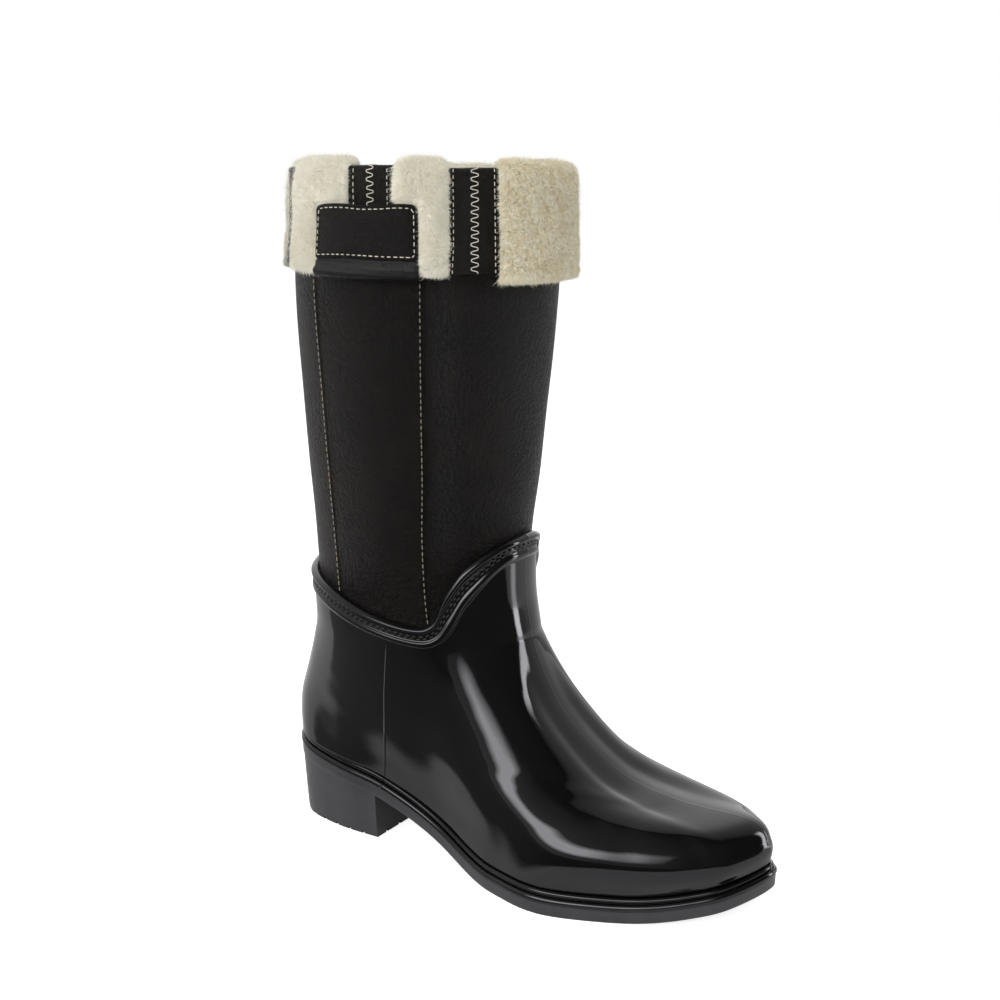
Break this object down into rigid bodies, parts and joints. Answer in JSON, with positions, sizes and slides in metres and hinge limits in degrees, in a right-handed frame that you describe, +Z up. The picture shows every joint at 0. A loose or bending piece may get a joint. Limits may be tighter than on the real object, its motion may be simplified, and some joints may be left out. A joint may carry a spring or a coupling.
{
  "type": "rain boot",
  "caption": "Right mid-calf rain boot: glossy moulded foot with block heel, sewn shaft, turned-down fleece cuff with seam tapes and a hinged strap flap held by a press stud.",
  "frame": {"origin": "on the ground, under the middle of the boot's bounding box in length and width", "axes": "+X from the back of the heel to the toe, +Y to the inner side of the right leg, +Z up the leg"},
  "size_m": [0.268, 0.132, 0.3426],
  "materials": {
    "glossy_shell": "high gloss moulded PVC, black",
    "sole_rubber": "satin moulded rubber, black",
    "shaft_leather": "dark brown, finely grained and slightly worn imitation suede",
    "tape_leather": "dark brown smooth tape with cream stitching",
    "fleece": "cream sheared fleece pile",
    "board": "pressed fibre board, matt",
    "stud_metal": "bright nickel"
  },
  "bodies": {
    "boot": {"outsole": "sole_rubber", "welt": "sole_rubber", "galosh": "glossy_shell", "insole_board": "board", "footbed": "fleece", "foot_lining": "fleece", "shaft_lining": "fleece", "shaft_front_panel": "shaft_leather", "shaft_back_panel": "shaft_leather", "shaft_inner_side_panel": "shaft_leather", "shaft_outer_side_panel": "shaft_leather", "cuff_backing": "shaft_leather", "cuff_tape_inner_front": "tape_leather", "cuff_tape_inner_side": "tape_leather", "cuff_tape_inner_rear": "tape_leather", "cuff_tape_outer_rear": "tape_leather", "cuff_tape_outer_side": "tape_leather", "cuff_tape_outer_front": "tape_leather", "strap_anchor": "shaft_leather", "stud_post": "stud_metal", "cuff_fleece_inner_front": "fleece", "cuff_fleece_inner_rear": "fleece", "cuff_fleece_back": "fleece", "cuff_fleece_outer_rear": "fleece", "cuff_fleece_outer_front": "fleece", "cuff_fleece_front": "fleece"},
    "strap": {"strap_flap": "shaft_leather", "label_patch": "tape_leather", "stud_socket": "stud_metal"}
  },
  "joints": [
    {"name": "strap_fold", "type": "hinge", "parent": "boot", "child": "strap", "pos_m": [-0.0416, -0.06525, 0.2965], "axis": [0.9915, 0.1299, 0], "range_deg": [0, 135]}
  ]
}
